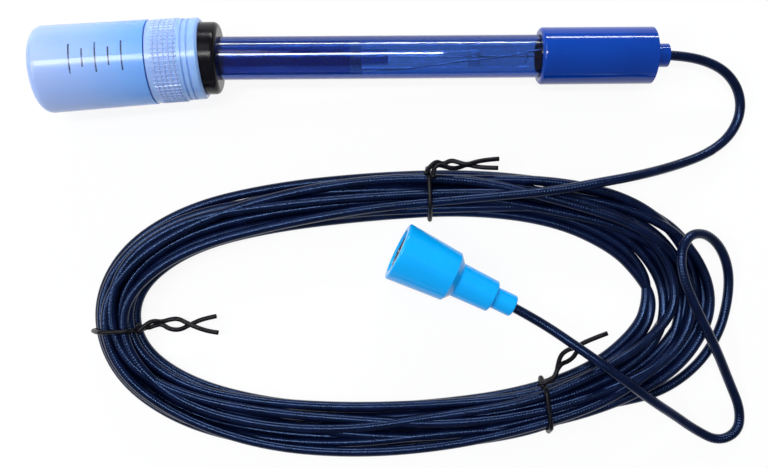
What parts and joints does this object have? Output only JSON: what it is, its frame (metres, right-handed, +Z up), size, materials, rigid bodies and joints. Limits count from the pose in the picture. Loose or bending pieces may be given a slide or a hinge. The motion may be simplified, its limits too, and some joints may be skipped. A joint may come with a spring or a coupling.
{
  "type": "pH electrode",
  "caption": "Combination pH electrode with a dark blue shaft and blue cap, its tip in a storage bottle, on a tied coil of thin cable that ends in a hooded bayonet plug.",
  "frame": {"origin": "on the table, under the middle of the electrode with its storage bottle, without the cable and what is on it", "axes": "+X along the electrode from the bottle to the cable's exit, +Z up from the table, +Y away from the coil"},
  "size_m": [0.2036, 0.1273, 0.0243],
  "materials": {
    "navy_plastic": "clear dark blue, polished",
    "sensor_glass": "thin clear glass",
    "dark_rubber": "matt",
    "porous_white": "porous ceramic",
    "pale_plastic": "satin",
    "silver": "drawn wire",
    "dark_resin": "cast resin",
    "cap_blue": "moulded, satin gloss",
    "black_rubber": "matt",
    "milky_plastic": "translucent, soft sheen",
    "washer_foam": "matt",
    "hood_blue": "moulded, soft gloss",
    "nickel": "nickel plate on turned brass",
    "gilt_brass": "gilt",
    "red_rubber": "soft",
    "spring_steel": "stamped",
    "cable_jacket": "soft jacket, satin gloss",
    "tie_coating": "plastic-coated wire"
  },
  "bodies": {
    "electrode": {"body_tube": "navy_plastic", "ph_glass": "sensor_glass", "tip_seal": "dark_rubber", "junction_plug": "porous_white", "gel_stopper": "pale_plastic", "silver_wire": "silver", "reference_wire": "silver", "stem_cap": "pale_plastic", "tube_potting": "dark_resin", "electrode_cap": "cap_blue", "cable_lead": "cable_jacket", "cable_coil": "cable_jacket", "cable_tail": "cable_jacket", "tie_top": "tie_coating", "tie_left": "tie_coating", "tie_bottom": "tie_coating", "plug_body": "nickel", "plug_insulator": "pale_plastic", "centre_pin": "gilt_brass", "plug_gasket": "red_rubber", "spring_washer": "spring_steel", "crimp_ferrule": "nickel"},
    "storage_cap": {"bottle_cap": "milky_plastic", "seal_ring": "black_rubber"},
    "bottle_washer": {"mouth_washer": "washer_foam"},
    "bottle": {"storage_bottle": "milky_plastic"},
    "plug_coupling": {"plug_hood": "hood_blue", "coupling_ring": "nickel"}
  },
  "joints": [
    {"name": "storage_pull", "type": "slide", "parent": "electrode", "child": "storage_cap", "axis": [-0.9996, 0, 0.0284], "range_m": [0, 0.045]},
    {"name": "bottle_lift", "type": "slide", "parent": "storage_cap", "child": "bottle_washer", "axis": [-0.998, -0.061, 0.0132], "range_m": [0, 0.00601]},
    {"name": "bottle_turn", "type": "hinge", "parent": "bottle_washer", "child": "bottle", "pos_m": [-0.04248, 0.00175, 0.01153], "axis": [-0.998, -0.061, 0.0132], "range_deg": [0, 720]},
    {"name": "bayonet_turn", "type": "hinge", "parent": "electrode", "child": "plug_coupling", "pos_m": [0.02405, -0.05951, 0.00757], "axis": [0.8925, -0.445, -0.0733], "continuous": true}
  ],
  "couplings": [
    {"joint": "bottle_lift", "follows": "bottle_turn", "m_per_rad": 0.00047746}
  ]
}
